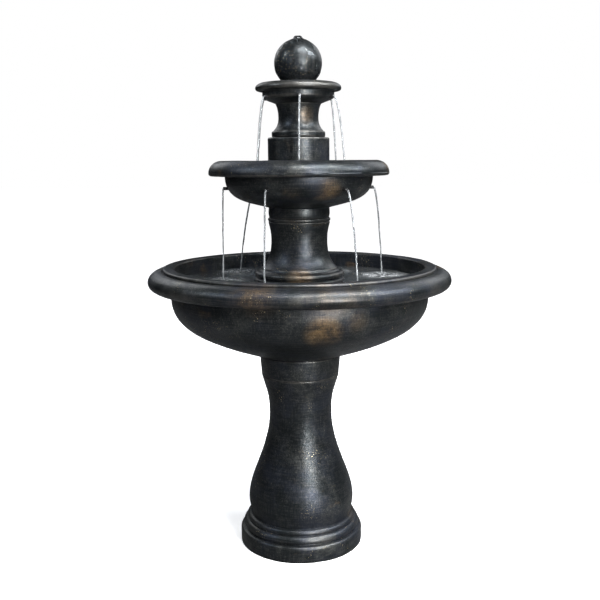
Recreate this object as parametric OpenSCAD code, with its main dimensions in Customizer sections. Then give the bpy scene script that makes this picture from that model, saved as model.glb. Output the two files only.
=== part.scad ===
// Three-tier garden fountain: a pedestal, a basin, two bowls and a ball, cast as hollow shells
// that stack on each other, with a small pump inside the middle pedestal.
// Millimetres, +Z up, origin on the ground under the centre. -Y is the front.

/* [Base pedestal] */
// Height of the base pedestal
pedestal_h = 445; // [440:1:460]
// Radius of the plinth at the ground
plinth_r = 158; // [150:1:170]
// Largest radius of the belly
belly_r = 135.6; // [130:0.1:138]
// Smallest radius, at the waist
waist_r = 80; // [76:0.1:84]
// Radius at the top edge
head_r = 98; // [94:0.5:100]
// Thickness of the cast shells
wall = 12; // [10:0.5:13]

/* [Basin] */
// Radius of the basin wall
basin_r = 321.5; // [310:0.5:330]
// Radius of the centre line of the rolled rim
rim_ring_r = 352; // [350:1:360]
// Radius of the rolled rim's section
rim_roll = 25; // [22:0.5:26]
// Height of the rolled rim's centre line above the basin's foot
rim_rise = 253; // [248:1:260]
// Radius of the round boss under the basin
boss_r = 102.5; // [99:0.5:104]
// Depth of the spigot that enters the pedestal
spigot_h = 20; // [15:1:22]

/* [Middle tier] */
// Radius of the middle pedestal's waist
mid_waist_r = 70; // [66:0.1:74]
// Radius of the middle pedestal's upper foot ring
mid_ring_r = 112; // [108:0.5:116]
// Radius of the skirt that stands in the water
skirt_r = 98; // [96:0.5:102]
// Radius of the middle bowl's wall
bowl_r = 182.5; // [178:0.5:188]
// Radius of the middle bowl's overhanging rim
bowl_rim_r = 222.5; // [218:0.5:228]
// Height of the spouts above the foot of the middle bowl
bowl_spout_rise = 72; // [70:0.5:74]
// Turn of the first spout from the front
bowl_spout_turn = -24; // [-30:1:30]

/* [Top tier] */
// Radius of the round block that stands in the middle bowl
collar_r = 75.5; // [74:0.5:80]
// Radius of the neck's waist
neck_r = 49; // [47:0.5:53]
// Radius of the top dish's wall
dish_r = 87.5; // [86:0.5:90]
// Radius of the top dish's overhanging rim
dish_rim_r = 104.7; // [103:0.1:108]
// Radius of the ball
ball_r = 58; // [55:0.5:60]
// Turn of the first spout of the dish from the front
dish_spout_turn = 2; // [-30:1:30]

/* [Spouts and tubes] */
// Number of spouts around each bowl
spout_count = 6; // [4:1:8]
// Outer radius of a spout
spout_r = 4; // [3:0.1:4.5]
// Inner radius of the supply tube
tube_bore = 9; // [8.9:0.1:9.5]
// Thickness of the supply tube
tube_wall = 2.5; // [2:0.1:3]

/* [Pump] */
// Half the width of the pump housing
pump_half = 26; // [25:0.5:28]
// Radius of the impeller over its vanes
vane_r = 16.5; // [14:0.5:17]
// Number of vanes
vane_count = 6; // [4:1:8]
// Radius of the impeller's ceramic shaft
shaft_r = 1.5; // [1.2:0.1:2]

/* [Hidden] */

// Colours
bronze = [0.13, 0.13, 0.15];
black = [0.05, 0.05, 0.05];
soft_black = [0.1, 0.1, 0.1];
clear_vinyl = [0.75, 0.8, 0.8];
steel = [0.7, 0.7, 0.72];
ceramic_white = [0.9, 0.88, 0.82];

// Clearance between stacked castings, and around things held in holes
gap = 0.6;
hair = 0.05;

// Heights of the castings above the ground
belly_z = 118;
waist_z = 342;
floor_z = pedestal_h + 71;              // inside of the basin's floor
under_floor_z = floor_z - 20;           // underside of that floor, inside the boss
rim_z = pedestal_h + rim_rise;
bowl_foot_z = pedestal_h + 398;         // joint between middle pedestal and middle bowl
bowl_floor_z = bowl_foot_z + 41;
bowl_rim_z = bowl_foot_z + 139;
collar_top_z = bowl_foot_z + 194;
dish_foot_z = bowl_foot_z + 274;
dish_floor_z = dish_foot_z + 9;
dish_rim_z = dish_foot_z + 50;
ball_z = dish_foot_z + 96;

// Sockets and bores
spigot_r = 77;
boss_bore = 64;
notch_r = 11;
cord_hole_r = 11;
cord_hole_y = 46;
drain_y = 165;
drain_r = 14;
drain_seat_z = floor_z + 25;
skirt_bore = skirt_r - wall;
mid_socket_r = 62.5;
intake_w = 34;
intake_h = 26;
collar_bore = 62;
neck_bore = 38;
bulkhead_hole = 10.5;
bulkhead_r = 10;
barb_r = tube_bore - 0.3;
barb_h = 18;                            // length of a bulkhead's lower barb
middle_tail_z = bowl_foot_z - 13;       // lower ends of the two bulkheads
top_tail_z = dish_foot_z - 41;
water_bore = 6.5;
flange_r = 20;
washer_h = 3;
nut_r = 18;
nut_h = 12;
tube_r = tube_bore + tube_wall;
spout_bore = 3;
spout_bowl_z = bowl_foot_z + bowl_spout_rise;
spout_dish_z = dish_foot_z + 16;

// Pump, laid along X with its outlet on the fountain's axis
pump_z = floor_z + 34;
pump_bottom_z = pump_z - pump_half + 1;
motor_back = -64;
motor_front = -12;
well_r = 11;
well_back = -54;
cover_front = 16;
cover_r = 23;
chamber_r = 19;
strainer_back = 12;
strainer_front = 48;
strainer_wall = 2.5;
outlet_top_z = pump_z + 54;
bush_r = 3;
pivot_r = 3;
dial_r = 14;
dial_hole_ring = 9;

// Points of a smooth curve and of an arc, each point being [radius, height]
function curve(a, b, c, d, n = 16) = [for (i = [0 : n]) let (t = i / n, u = 1 - t)
    u * u * u * a + 3 * u * u * t * b + 3 * u * t * t * c + t * t * t * d];
function arc(centre, radii, from, to, n = 8) = [for (i = [0 : n]) let (a = from + (to - from) * i / n)
    centre + [radii[0] * cos(a), radii[1] * sin(a)]];
function rounded(half_w, half_h, r) = [for (q = [0 : 3]) each
    arc([(q == 0 || q == 3 ? 1 : -1) * (half_w - r), (q < 2 ? 1 : -1) * (half_h - r)],
        [r, r], q * 90, q * 90 + 90, 5)];

module lathe(outline) rotate_extrude($fn = 96) polygon(outline);
module pipe(r, bore, h, z = 0) translate([0, 0, z]) difference() {
    cylinder(r = r, h = h, $fn = 64);
    translate([0, 0, -1]) cylinder(r = bore, h = h + 2, $fn = 64);
}
// Turns a shape made along Z to lie along X, at the height of the pump's axis
module along_x(x = 0) translate([x, 0, pump_z]) rotate([0, 90, 0]) children();
// Places children around the axis; they are made pointing to the front
module around(count, turn = 0) for (i = [0 : count - 1]) rotate([0, 0, turn + 360 * i / count]) children();

// Hollow turned pedestal: plinth, two step rings, belly, waist and flared head
module base_pedestal() {
    ring_z = 62;
    neck_z = 76.5;
    plinth_edge = 33;
    outer = concat(
        [[plinth_r, 0]],
        arc([plinth_r - 7, plinth_edge], [7, 8], 0, 90),
        [[plinth_r - 12, 42.5]],
        curve([plinth_r - 12, 44.5], [plinth_r - 5, 46], [plinth_r - 8, ring_z - 4], [plinth_r - 16, ring_z]),
        [[plinth_r - 19, ring_z + 0.5]],
        curve([plinth_r - 19, ring_z + 2], [plinth_r - 15, ring_z + 4.5], [plinth_r - 18, neck_z - 1.5],
              [plinth_r - 25, neck_z]),
        [[plinth_r - 28, neck_z + 0.5]],
        curve([belly_r - 5.3, neck_z + 2], [belly_r - 3.5, 94], [belly_r, 104], [belly_r, belly_z]),
        curve([belly_r, belly_z], [belly_r, 176], [waist_r, 254], [waist_r, waist_z], 24),
        curve([waist_r, waist_z], [waist_r, waist_z + 51], [head_r - 14, waist_z + 51],
              [head_r, pedestal_h - 2]),
        [[head_r, pedestal_h]]);
    inner = concat(
        [[spigot_r + gap, pedestal_h], [spigot_r + gap, pedestal_h - spigot_h - 5]],
        curve([spigot_r - 3, pedestal_h - spigot_h - 7], [waist_r - wall + 2, 400],
              [waist_r - wall, 380], [waist_r - wall, waist_z]),
        curve([waist_r - wall, waist_z], [waist_r - wall, 254], [belly_r - wall, 176],
              [belly_r - wall, belly_z]),
        [[belly_r - wall, 62], [plinth_r - 16, 38], [plinth_r - 16, 0]]);
    color(bronze) difference() {
        lathe(concat(outer, inner));
        // Way out for the mains cord, at the back of the foot
        translate([-notch_r, plinth_r - 30, -1]) cube([2 * notch_r, 60, notch_r - 1]);
        translate([0, plinth_r - 30, notch_r - 2]) rotate([-90, 0, 0])
            cylinder(r = notch_r, h = 60, $fn = 48);
    }
}

// Large round bowl with a boss and spigot below, a rolled rim, and a lip inside a groove on top of it
module basin() {
    nose_z = rim_z - 8;
    roll_under_z = rim_z - rim_roll - 2.5;
    lip_z = rim_z + rim_roll;
    groove_r = rim_ring_r - 9;
    foot_z = pedestal_h;
    outer = concat(
        [[0, under_floor_z], [boss_bore, under_floor_z], [boss_bore, foot_z - spigot_h],
         [spigot_r, foot_z - spigot_h], [spigot_r, foot_z], [boss_r - 4, foot_z], [boss_r, foot_z + 52]],
        curve([boss_r + 1, foot_z + 52], [boss_r + 145, foot_z + 102], [basin_r, foot_z + 129],
              [basin_r, foot_z + 205], 28),
        arc([basin_r + 5, roll_under_z - 5], [5, 5], 180, 90, 4),
        arc([rim_ring_r + 2, nose_z], [rim_roll - 2, nose_z - roll_under_z], -90, 0, 12),
        arc([groove_r, nose_z], [rim_roll + 9, rim_roll + 1], 4, 88, 20));
    inner = concat(
        [[groove_r - 0.5, lip_z - 9], [groove_r - 3.5, lip_z - 9]],
        arc([groove_r - 7.5, lip_z - 4.5], [5, 4.5], -60, 90, 8),
        arc([groove_r - 27, lip_z - 5], [5, 5], 90, 180, 5),
        [[basin_r - 12.5, lip_z - 33]],
        curve([basin_r - 14, foot_z + 205], [basin_r - 14, foot_z + 138], [boss_r + 137, foot_z + 117],
              [boss_r + 11, floor_z], 24),
        [[0, floor_z]]);
    color(bronze) difference() {
        union() {
            lathe(concat(outer, inner));
            translate([0, drain_y, floor_z + 4]) cylinder(r = 22, h = drain_seat_z - floor_z - 4, $fn = 64);
        }
        translate([0, drain_y, drain_seat_z]) cylinder(r = 21, h = 30, $fn = 64);
        translate([0, drain_y, floor_z - 40]) cylinder(r = drain_r, h = 100, $fn = 64);
        translate([0, cord_hole_y, floor_z - 40]) cylinder(r = cord_hole_r, h = 60, $fn = 48);
    }
}

// Rubber grommet that seals the cord's hole in the basin floor
module cord_grommet() {
    core_r = cord_hole_r - hair;
    color(soft_black) translate([0, cord_hole_y, 0]) lathe([
        [4, under_floor_z - 4], [9, under_floor_z - 4], [15, under_floor_z], [core_r, under_floor_z],
        [core_r, floor_z], [16, floor_z], [16, floor_z + 1.5], [13, floor_z + 4], [4, floor_z + 4]]);
}

// Pull-out plug of the drain hole, with a knob to hold it by
module drain_plug() {
    color(soft_black) translate([0, drain_y, drain_seat_z]) lathe(concat(
        [[0, -27], [drain_r - 2, -27], [drain_r - 0.4, -20], [drain_r - 0.4, 0], [19, 0]],
        arc([16, 2], [3, 3], 0, 90, 4),
        [[5, 6], [4.5, 12]],
        arc([5, 16], [4, 4], -80, 90, 6),
        [[0, 20]]));
}

// Motor half of the pump: a closed block with a blind well for the rotor
module pump_housing() {
    color(black) difference() {
        translate([motor_back, 0, pump_z]) rotate([90, 0, 90])
            linear_extrude(motor_front - motor_back) polygon(rounded(pump_half, pump_half - 1, 7));
        along_x(well_back) cylinder(r = well_r, h = 60, $fn = 64);
        along_x(well_back - 4) cylinder(r = bush_r + hair, h = 10, $fn = 48);
        // Groove for the seal ring
        along_x(motor_front - 2.4) difference() {
            cylinder(r = chamber_r + 3.3, h = 5, $fn = 64);
            translate([0, 0, -1]) cylinder(r = chamber_r + 0.7, h = 7, $fn = 64);
        }
        // Bore where the cable enters
        translate([motor_back - 1, 0, pump_z - 14]) rotate([0, 90, 0]) cylinder(r = 3.2, h = 9, $fn = 48);
    }
}

// Front half of the pump: impeller chamber, inlet with a shaft bridge, and the upright outlet barb
module impeller_cover() {
    depth = cover_front - motor_front;
    inlet_r = 10;
    color(black) difference() {
        union() {
            difference() {
                along_x(motor_front) cylinder(r = cover_r, h = depth, $fn = 64);
                along_x(motor_front - 1) cylinder(r = chamber_r, h = depth - 5, $fn = 64);
                along_x(0) cylinder(r = inlet_r, h = 40, $fn = 64);
            }
            translate([0, 0, pump_z + chamber_r + 0.5]) cylinder(r = 11, h = 8.5, $fn = 48);
            translate([0, 0, pump_z + chamber_r + 0.5])
                cylinder(r = 8, h = outlet_top_z - pump_z - 19.5, $fn = 48);
            for (i = [0 : 2]) translate([0, 0, outlet_top_z - 20 + 6 * i])
                cylinder(r1 = barb_r, r2 = 8.2, h = 5, $fn = 48);
            translate([cover_front - 6, -2.5, pump_z - inlet_r - 1]) cube([5, 5, 2 * inlet_r + 2]);
            along_x(cover_front - 6) cylinder(r = 5, h = 5, $fn = 48);
        }
        translate([0, 0, pump_z + chamber_r - 6]) cylinder(r = 6, h = 60, $fn = 48);
        along_x(cover_front - 8) cylinder(r = bush_r + hair, h = 12, $fn = 48);
    }
}

// Rubber ring between the two halves of the pump
module cover_seal() {
    color(soft_black) along_x(motor_front - 1.15) rotate_extrude($fn = 64)
        translate([chamber_r + 2, 0]) circle(r = 1.1, $fn = 24);
}

// Magnet rotor with its vanes, which spins on the ceramic shaft
module impeller() {
    magnet_r = 9.6;
    color(steel) difference() {
        union() {
            along_x(well_back + 3) cylinder(r = magnet_r, h = 36, $fn = 64);
            along_x(motor_front - 4) cylinder(r = 5, h = 22, $fn = 48);
            along_x(motor_front + 3) cylinder(r = vane_r, h = 2.5, $fn = 64);
            for (i = [0 : vane_count - 1]) along_x(motor_front + 5) rotate([0, 0, 360 * i / vane_count])
                translate([3, -1, 0]) cube([vane_r - 4, 2, 12]);
        }
        along_x(well_back) cylinder(r = shaft_r + hair, h = 80, $fn = 48);
    }
}

module impeller_shaft() {
    color(ceramic_white) along_x(well_back - 3) cylinder(r = shaft_r, h = cover_front - well_back, $fn = 48);
}

// Two rubber bushes that hold the shaft's ends
module shaft_bushes() {
    color(soft_black) for (x = [well_back - 3.9, cover_front - 6])
        along_x(x) pipe(bush_r, shaft_r + hair / 2, 4.8);
}

// Slotted cover over the pump's inlet; it pulls off to be cleaned
module intake_strainer() {
    depth = strainer_front - strainer_back;
    slot_pitch = 6;
    inside = pump_half - strainer_wall;
    color(black) difference() {
        translate([strainer_back, 0, pump_z]) rotate([90, 0, 90])
            linear_extrude(depth) polygon(rounded(pump_half, pump_half, 5));
        translate([strainer_back - 1, 0, pump_z]) rotate([90, 0, 90])
            linear_extrude(depth + 1 - strainer_wall) polygon(rounded(inside, inside, 3));
        for (i = [0 : 3]) translate([strainer_back + 9 + slot_pitch * i, -40, pump_z - 17]) cube([3, 80, 34]);
        along_x(strainer_front - 10) cylinder(r = pivot_r + hair, h = 20, $fn = 48);
        for (s = [-1, 1]) along_x(strainer_front - 10) translate([s * dial_hole_ring, 0, 0])
            cylinder(r = 3.4, h = 20, $fn = 48);
    }
}

// Dial on the strainer's front; a quarter turn closes its two holes
module flow_dial() {
    face_x = strainer_front + 0.3;
    color(soft_black) difference() {
        union() {
            along_x(face_x) cylinder(r = dial_r, h = 3.5, $fn = 64);
            translate([face_x + 3, -11, pump_z - 2]) cube([4, 22, 4]);
            along_x(strainer_front - 4) cylinder(r = pivot_r, h = 6, $fn = 48);
            along_x(strainer_front - 5) cylinder(r = pivot_r + 1.2, h = 2, $fn = 48);
        }
        for (s = [-1, 1]) along_x(face_x - 5) translate([s * dial_hole_ring, 0, 0])
            cylinder(r = 3.4, h = 20, $fn = 48);
    }
}

// Four rubber feet that hold the pump to the basin floor
module suction_cups() {
    color(soft_black) for (x = [motor_back + 12, motor_front - 12], y = [-16, 16])
        translate([x, y, floor_z]) lathe([[0, 2], [6, 0], [9.5, 0], [9, 1.5], [4.5, 4.5],
                                          [3.5, pump_bottom_z - floor_z], [0, pump_bottom_z - floor_z]]);
}

// Strain relief of the pump's cable, bored for a 6 mm cord
module pump_cable_gland() {
    color(soft_black) translate([motor_back, 0, pump_z - 14]) rotate([0, -90, 0])
        lathe([[3.2, 0], [7, 0], [7, 2.5], [6, 3.5], [4.8, 12], [3.2, 12]]);
}

// Tube that pushes over two barbs
module supply_tube(from, to) color(clear_vinyl) pipe(tube_r, tube_bore, to - from, from);

module lower_supply_tube() supply_tube(outlet_top_z - 23, middle_tail_z + barb_h - gap);

// Worm-drive clamp: a band, its screw housing and the screw
module hose_clamp(z) {
    band_w = 9;
    color(steel) {
        pipe(tube_r + 0.9, tube_r + hair, band_w, z);
        translate([-6, tube_r + 1, z]) cube([12, 5, band_w]);
        translate([6, tube_r + 3.5, z + band_w / 2]) rotate([0, 90, 0]) cylinder(r = 3, h = 4, $fn = 6);
    }
}

module lower_hose_clamp() hose_clamp(outlet_top_z - 16);

// Turned pedestal in the basin: skirt under water, two rings, flare, waist and bead
module middle_pedestal() {
    ring_z = floor_z + 187;
    flare_z = floor_z + 202;
    mid_waist_z = floor_z + 272;
    bead_z = bowl_foot_z - 5;
    outer = concat(
        [[skirt_r, floor_z], [skirt_r, ring_z - 20], [mid_ring_r - 5, ring_z - 19]],
        arc([mid_ring_r - 5, ring_z - 14], [5, 4.5], -80, 80, 6),
        [[mid_ring_r - 6, ring_z - 8.5]],
        arc([mid_ring_r - 8, ring_z], [8, 7.5], -75, 75, 10),
        [[mid_ring_r - 12, ring_z + 8.5], [mid_ring_r - 16, ring_z + 12]],
        curve([mid_ring_r - 17, flare_z], [mid_waist_r + 5.4, flare_z + 18],
              [mid_waist_r, mid_waist_z - 31], [mid_waist_r, mid_waist_z]),
        curve([mid_waist_r, mid_waist_z], [mid_waist_r, mid_waist_z + 20],
              [mid_waist_r + 4.6, mid_waist_z + 32], [mid_waist_r + 6.8, bead_z - 6], 10),
        arc([mid_waist_r + 3, bead_z], [5, 4.8], -70, 70, 8),
        [[mid_waist_r + 4, bowl_foot_z]]);
    inner = concat(
        [[mid_socket_r, bowl_foot_z], [mid_socket_r, bowl_foot_z - 16]],
        curve([mid_waist_r - wall + 1, bowl_foot_z - 18], [mid_waist_r - wall, mid_waist_z - 10],
              [mid_waist_r - wall, flare_z + 30], [skirt_bore - 4, flare_z + 2]),
        [[skirt_bore, ring_z - 6], [skirt_bore, floor_z]]);
    color(bronze) difference() {
        lathe(concat(outer, inner));
        // Ways in for the water
        around(4) translate([-intake_w / 2, -120, floor_z - 1]) cube([intake_w, 60, intake_h + 1]);
    }
}

// Shallow bowl with a round foot and a thick overhanging rim
module middle_bowl() {
    foot = bowl_foot_z;
    shoulder = [bowl_rim_r - 32.5, bowl_rim_z - 30.5];
    outer = concat(
        [[bulkhead_hole, foot + 25], [50, foot + 25], [50, foot - 15], [mid_socket_r - gap, foot - 15],
         [mid_socket_r - gap, foot], [74.4, foot]],
        curve([74.8, foot + 2], [76.8, foot + 8], [76.2, foot + 18], [75.2, foot + 23], 8),
        [[76, foot + 24.5]],
        curve([77.5, foot + 25], [122, foot + 37], [bowl_r, foot + 41.6], [bowl_r, foot + 101], 24),
        [[bowl_r + 1, foot + 102]],
        arc([bowl_rim_r - 6.5, foot + 108.5], [6.5, 6.5], -90, 0, 6),
        arc(shoulder, [32.5, 30.5], 0, 90, 16));
    inner = concat(
        arc([bowl_r - 2.5, bowl_rim_z - 6], [6, 6], 90, 180, 5),
        curve([bowl_r - 11, foot + 110], [bowl_r - 13, foot + 60], [125, foot + 54], [88, bowl_floor_z]),
        [[bulkhead_hole, bowl_floor_z]]);
    color(bronze) difference() {
        lathe(concat(outer, inner));
        around(spout_count, bowl_spout_turn) translate([0, 0, spout_bowl_z]) rotate([90, 0, 0])
            translate([0, 0, bowl_r - 35]) cylinder(r = spout_r + hair, h = 60, $fn = 32);
    }
}

// Pipe through a bowl's floor: barb below, threaded shank, flange, then a barb or riser above
module bulkhead(floor_top, top_r, top_h, top_bore, tail) {
    flange_z = floor_top + washer_h;
    color(black) difference() {
        union() {
            translate([0, 0, tail]) cylinder(r = barb_r, h = barb_h + 2, $fn = 48);
            translate([0, 0, tail + barb_h])
                cylinder(r = bulkhead_r, h = flange_z - tail - barb_h + 1, $fn = 48);
            translate([0, 0, flange_z]) cylinder(r = flange_r, h = 5, $fn = 64);
            translate([0, 0, flange_z + 4]) cylinder(r = top_r, h = top_h - 4, $fn = 48);
        }
        translate([0, 0, tail - 1]) cylinder(r = water_bore, h = flange_z - tail + 3, $fn = 48);
        translate([0, 0, tail]) cylinder(r = top_bore, h = 400, $fn = 48);
    }
}

module bulkhead_nut(top) color(black) translate([0, 0, top - nut_h]) difference() {
    cylinder(r = nut_r, h = nut_h, $fn = 6);
    translate([0, 0, -1]) cylinder(r = bulkhead_r + hair, h = nut_h + 2, $fn = 48);
}

module rubber_washer(z) color(soft_black) pipe(flange_r, bulkhead_hole, washer_h, z);

module middle_bulkhead() bulkhead(bowl_floor_z, barb_r, 30, water_bore - 0.5, middle_tail_z);
module middle_nut() bulkhead_nut(bowl_foot_z + 25);
module middle_washer() rubber_washer(bowl_floor_z);

// Ring of short tubes that pour the water
module spouts(count, turn, z, from, to) color(black) around(count, turn)
    translate([0, -from, z]) rotate([90, 0, 0]) pipe(spout_r, spout_bore, to - from);

module middle_spouts() spouts(spout_count, bowl_spout_turn, spout_bowl_z, bowl_r - 26, bowl_r + 4.5);

module upper_supply_tube() supply_tube(bowl_floor_z + 13, top_tail_z + barb_h - gap);
module upper_hose_clamp() hose_clamp(bowl_floor_z + 18);

// Round block that stands on the floor of the middle bowl
module upper_collar() {
    edge = 4;
    color(bronze) lathe(concat(
        [[collar_bore, bowl_floor_z], [collar_r + 0.5, bowl_floor_z]],
        arc([collar_r - edge, collar_top_z - edge], [edge, edge], 0, 90, 5),
        [[collar_bore, collar_top_z]]));
}

// Waisted block between the collar and the dish
module upper_neck() {
    flange = 65.5;
    neck_z = collar_top_z + 48;
    color(bronze) lathe(concat(
        [[50, collar_top_z - 12], [collar_bore - hair, collar_top_z - 12], [collar_bore - hair, collar_top_z],
         [flange - 2.5, collar_top_z], [flange, collar_top_z + 3]],
        arc([flange - 3, collar_top_z + 11], [3, 4], 0, 80, 5),
        [[flange - 4, collar_top_z + 15]],
        curve([flange - 4, collar_top_z + 16], [neck_r + 7, collar_top_z + 22],
              [neck_r, collar_top_z + 29], [neck_r, neck_z]),
        curve([neck_r, neck_z], [neck_r, neck_z + 11], [neck_r + 2, dish_foot_z - 8],
              [neck_r + 6.5, dish_foot_z]),
        [[neck_bore, dish_foot_z], [neck_bore, collar_top_z + 10], [50, collar_top_z - 2]]));
}

// Small dish with a spigot below and an overhanging rim
module top_dish() {
    foot = dish_foot_z;
    outer = concat(
        [[bulkhead_hole, foot - 3], [28, foot - 3], [28, foot - 12], [neck_bore - hair, foot - 12],
         [neck_bore - hair, foot], [neck_r + 6.5, foot]],
        curve([neck_r + 6.8, foot + 0.5], [neck_r + 19, foot + 7], [dish_r - 1, foot + 10],
              [dish_r, foot + 17], 12),
        [[dish_r, foot + 26]],
        arc([dish_r + 4, foot + 27], [4, 4], 180, 90, 4),
        arc([dish_rim_r - 6.5, foot + 37.5], [6.5, 6.5], -90, 20, 8),
        curve([dish_rim_r - 1.2, foot + 42], [dish_rim_r - 5, foot + 47], [dish_rim_r - 12, dish_rim_z],
              [dish_rim_r - 18, dish_rim_z], 8));
    inner = concat(
        arc([dish_r - 5.5, dish_rim_z - 5], [5, 5], 90, 180, 5),
        curve([dish_r - 11, foot + 40], [dish_r - 11, foot + 17], [66, foot + 12], [56, dish_floor_z], 10),
        [[bulkhead_hole, dish_floor_z]]);
    color(bronze) difference() {
        lathe(concat(outer, inner));
        around(spout_count, dish_spout_turn) translate([0, 0, spout_dish_z]) rotate([90, 0, 0])
            translate([0, 0, dish_r - 18]) cylinder(r = spout_r + hair, h = 60, $fn = 32);
    }
}

// Bulkhead of the dish, whose long riser carries the water up through the ball
module top_riser() bulkhead(dish_floor_z, 6.5, ball_z + 49 - dish_floor_z - washer_h, 4.5, top_tail_z);
module top_nut() bulkhead_nut(dish_foot_z - 3);
module top_washer() rubber_washer(dish_floor_z);
module top_spouts() spouts(spout_count, dish_spout_turn, spout_dish_z, dish_r - 17, dish_r + 7);

// Ball with a round foot that stands in the dish, bored for the riser
module ball_finial() {
    foot_r = 32;
    recess_r = 12;
    recess_z = ball_z + ball_r - 7;
    foot_top_z = ball_z - ball_r * cos(asin(foot_r / ball_r)) - 2;
    color(bronze) lathe(concat(
        [[flange_r + 4, dish_floor_z], [foot_r, dish_floor_z], [foot_r, foot_top_z]],
        arc([0, ball_z], [ball_r, ball_r], asin(foot_r / ball_r) - 90, 90 - asin(recess_r / ball_r), 48),
        [[recess_r, recess_z], [8, recess_z], [8, dish_floor_z + 14], [flange_r + 4, dish_floor_z + 14]]));
}

// Small ring in the top of the ball, where the water wells up
module finial_outlet() {
    seat_z = ball_z + ball_r - 7;
    color(black) lathe([[5, seat_z], [11.9, seat_z], [11.9, seat_z + 4.5], [10, seat_z + 7.5], [5, seat_z + 8]]);
}

base_pedestal();
basin();
cord_grommet();
drain_plug();
pump_housing();
impeller_cover();
cover_seal();
impeller();
impeller_shaft();
shaft_bushes();
intake_strainer();
flow_dial();
suction_cups();
pump_cable_gland();
lower_supply_tube();
lower_hose_clamp();
middle_pedestal();
middle_bowl();
middle_bulkhead();
middle_nut();
middle_washer();
middle_spouts();
upper_supply_tube();
upper_hose_clamp();
upper_collar();
upper_neck();
top_dish();
top_riser();
top_nut();
top_washer();
top_spouts();
ball_finial();
finial_outlet();
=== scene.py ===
"""The looks of the tiered water fountain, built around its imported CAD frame.

The eight turned castings get fine lathe meshes with a hand-cast surface and a rubbed bronze patina.
The fittings and the pump keep their CAD meshes with better materials. The water is a pool in each bowl,
twelve falling streams, and a film that wells up over the ball. Scene lengths are in metres.
"""
import math
import random

import bmesh
import bpy
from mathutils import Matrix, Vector, noise


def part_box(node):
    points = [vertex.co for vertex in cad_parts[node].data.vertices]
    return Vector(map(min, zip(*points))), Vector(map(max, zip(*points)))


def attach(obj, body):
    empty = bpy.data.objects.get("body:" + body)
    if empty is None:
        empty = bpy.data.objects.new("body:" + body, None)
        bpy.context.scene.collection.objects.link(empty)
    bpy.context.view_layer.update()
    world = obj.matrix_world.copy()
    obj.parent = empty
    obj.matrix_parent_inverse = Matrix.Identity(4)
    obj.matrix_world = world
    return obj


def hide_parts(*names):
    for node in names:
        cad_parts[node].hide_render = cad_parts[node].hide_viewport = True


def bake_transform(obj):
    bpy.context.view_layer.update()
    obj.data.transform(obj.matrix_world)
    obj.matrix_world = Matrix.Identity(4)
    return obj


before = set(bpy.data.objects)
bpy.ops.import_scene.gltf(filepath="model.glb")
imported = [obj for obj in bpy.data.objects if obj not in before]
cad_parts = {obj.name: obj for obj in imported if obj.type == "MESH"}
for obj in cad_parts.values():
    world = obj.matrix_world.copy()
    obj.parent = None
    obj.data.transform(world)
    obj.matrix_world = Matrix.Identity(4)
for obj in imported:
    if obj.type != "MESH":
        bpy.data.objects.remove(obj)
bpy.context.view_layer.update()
# Blender seeds noise_vector from the clock unless it is given a seed
noise.seed_set(1)

MM = 0.001
SEGMENTS = 288
STEP_MM = 5.0


# ---------------------------------------------------------------- camera

CAMERA_PLACE = (0.0, -2.082, 0.979)
CAMERA_PITCH_DOWN = 9.42
CAMERA_ROLL = 0.4
CAMERA_YAW = -0.085
LENS_MM = 50.05

camera_data = bpy.data.cameras.new("camera")
camera_data.lens = LENS_MM
camera = bpy.data.objects.new("camera", camera_data)
camera.location = CAMERA_PLACE
camera.rotation_euler = [math.radians(angle) for angle in (90 - CAMERA_PITCH_DOWN, CAMERA_ROLL, CAMERA_YAW)]
bpy.context.scene.collection.objects.link(camera)
bpy.context.scene.camera = camera


# ---------------------------------------------------------------- places from the frame, in millimetres

def low(node, axis=2):
    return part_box(node)[0][axis] / MM


def high(node, axis=2):
    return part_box(node)[1][axis] / MM


WALL = 12.0
PLINTH_R = high("base_pedestal", 0)
PEDESTAL_H = high("base_pedestal")
RIM_OUTER_R = high("basin", 0)
RIM_ROLL = 25.0
RIM_R = RIM_OUTER_R - RIM_ROLL
RIM_Z = high("basin") - RIM_ROLL
FLOOR_Z = low("middle_pedestal")
MID_RING_R = high("middle_pedestal", 0)
BOWL_FOOT = high("middle_pedestal")
BOWL_RIM_R = high("middle_bowl", 0)
BOWL_RIM_Z = high("middle_bowl")
BOWL_FLOOR = low("upper_collar")
COLLAR_R = high("upper_collar", 0) - 0.5
COLLAR_TOP = high("upper_collar")
DISH_FOOT = high("upper_neck")
DISH_RIM_R = high("top_dish", 0)
DISH_RIM_Z = high("top_dish")
DISH_FLOOR = low("ball_finial")
BALL_R = high("ball_finial", 0)
BALL_Z = high("finial_outlet") - 1.0 - BALL_R

BELLY_R = 135.6
BELLY_Z = 118.0
WAIST_R = 80.0
WAIST_Z = 342.0
HEAD_R = 98.0
BOSS_R = 102.5
BASIN_R = 321.5
SKIRT_R = 98.0
MID_WAIST_R = 70.0
BOWL_R = 182.5
NECK_R = 49.0
DISH_R = 87.5
BOWL_SPOUT_Z = (low("middle_spouts") + high("middle_spouts")) / 2
DISH_SPOUT_Z = (low("top_spouts") + high("top_spouts")) / 2

BASIN_WATER_Z = 685.0
BOWL_WATER_Z = 926.0
DISH_WATER_Z = 1142.0


# ---------------------------------------------------------------- outlines: [radius, height] in millimetres

def curve(a, b, c, d, steps=16):
    """Points along a smooth cubic curve."""
    points = []
    for i in range(steps + 1):
        t = i / steps
        u = 1 - t
        points.append(tuple(u * u * u * a[k] + 3 * u * u * t * b[k] + 3 * u * t * t * c[k] + t * t * t * d[k]
                            for k in (0, 1)))
    return points


def arc(centre, radii, start, end, steps=8):
    """Points along an arc, with angles in degrees."""
    angles = [math.radians(start + (end - start) * i / steps) for i in range(steps + 1)]
    return [(centre[0] + radii[0] * math.cos(a), centre[1] + radii[1] * math.sin(a)) for a in angles]


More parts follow.
